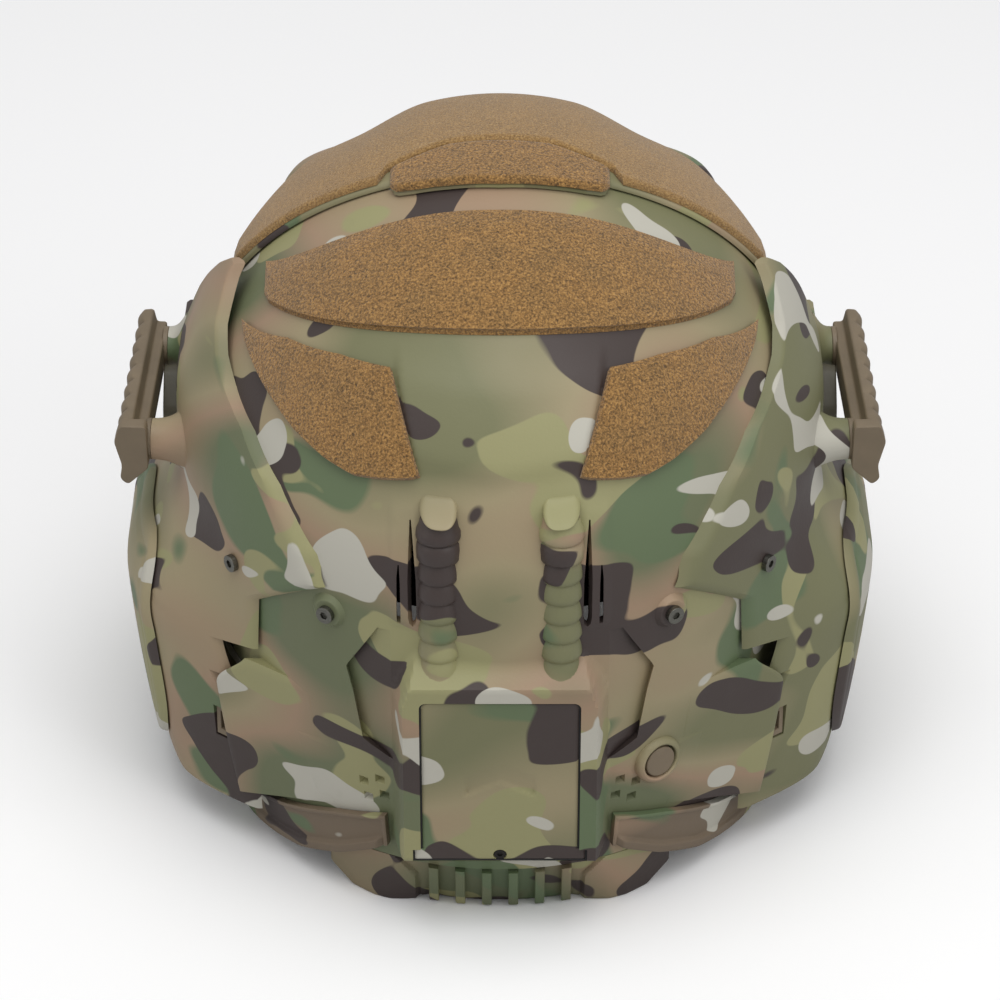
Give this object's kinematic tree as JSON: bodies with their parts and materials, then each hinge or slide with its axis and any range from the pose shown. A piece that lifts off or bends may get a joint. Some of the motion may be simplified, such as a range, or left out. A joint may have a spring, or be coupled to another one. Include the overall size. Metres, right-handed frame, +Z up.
{
  "type": "airsoft helmet",
  "caption": "Full-face airsoft helmet with side rails, loop panels, lift-up visor, fans, battery door, power button and a fit dial.",
  "frame": {"origin": "middle of the box round the helmet, on the ground it stands on by its rim", "axes": "+Z up, +X to the wearer's left, -Y the way the face looks, so +Y is the back"},
  "size_m": [0.2784, 0.2907, 0.2611],
  "materials": {
    "camo_shell": "satin, printed camouflage",
    "camo_cover": "satin, printed camouflage",
    "sleeve_plastic": "satin, printed camouflage",
    "loop_fabric": "woven loop",
    "sand_plastic": "satin",
    "black_plastic": "satin",
    "steel": "satin",
    "pad_fabric": "brushed knit over foam",
    "seal_rubber": "matte",
    "lens": "tinted, clear",
    "cell_wrap": "shrink wrap",
    "board": "solder mask"
  },
  "bodies": {
    "helmet": {"rear_shell": "camo_shell", "front_shell": "camo_shell", "crown_cover": "camo_cover", "side_panel_left": "camo_shell", "side_panel_right": "camo_shell", "ear_cover_left": "camo_cover", "ear_cover_right": "camo_cover", "jaw_guard": "camo_shell", "jaw_grille": "black_plastic", "neck_guard": "camo_shell", "exhaust_scoop_left": "camo_cover", "exhaust_scoop_right": "camo_cover", "cable_sleeve_left": "sleeve_plastic", "cable_sleeve_right": "sleeve_plastic", "loop_crown": "loop_fabric", "loop_tab": "loop_fabric", "loop_rear_wide": "loop_fabric", "loop_rear_left": "loop_fabric", "loop_rear_right": "loop_fabric", "side_rail_left": "sand_plastic", "side_rail_right": "sand_plastic", "rail_screws": "steel", "shell_screws": "steel", "side_hook_left": "sand_plastic", "side_hook_right": "sand_plastic", "visor_pivots": "sand_plastic", "fan_housing_left": "black_plastic", "fan_housing_right": "black_plastic", "battery_tray": "black_plastic", "battery_cells": "cell_wrap", "switch_body": "black_plastic", "circuit_board": "board", "crown_pad": "pad_fabric", "front_pad": "pad_fabric", "rear_pad": "pad_fabric", "side_pad_left": "pad_fabric", "side_pad_right": "pad_fabric", "nape_strap": "black_plastic", "dial_housing": "black_plastic"},
    "visor": {"visor_frame": "camo_cover", "visor_lens": "lens", "visor_gasket": "seal_rubber"},
    "battery_door": {"battery_door": "camo_shell", "door_screw": "steel"},
    "power_button": {"power_button": "sand_plastic"},
    "fan_left": {"fan_rotor_left": "black_plastic"},
    "fan_right": {"fan_rotor_right": "black_plastic"},
    "fit_dial": {"dial_knob": "camo_cover"}
  },
  "joints": [
    {"name": "visor_tilt", "type": "hinge", "parent": "helmet", "child": "visor", "pos_m": [0, -0.00175, 0.137], "axis": [-1, 0, 0], "range_deg": [0, 57]},
    {"name": "battery_door_hinge", "type": "hinge", "parent": "helmet", "child": "battery_door", "pos_m": [0, 0.14247, 0.10524], "axis": [1, 0, 0], "range_deg": [0, 95]},
    {"name": "power_button_press", "type": "slide", "parent": "helmet", "child": "power_button", "axis": [0.5446, -0.8387, 0], "range_m": [0, 0.0018], "stiffness_N_per_m": 250, "springref_m": -0.002},
    {"name": "fan_left_spin", "type": "hinge", "parent": "helmet", "child": "fan_left", "pos_m": [0.04158, 0.11717, 0.15], "axis": [0.3746, 0.9272, 0], "continuous": true},
    {"name": "fan_right_spin", "type": "hinge", "parent": "helmet", "child": "fan_right", "pos_m": [-0.04158, 0.11717, 0.15], "axis": [-0.3746, 0.9272, 0], "continuous": true},
    {"name": "fit_dial_turn", "type": "hinge", "parent": "helmet", "child": "fit_dial", "pos_m": [0, 0.10725, 0.06], "axis": [0, 1, 0], "continuous": true}
  ]
}
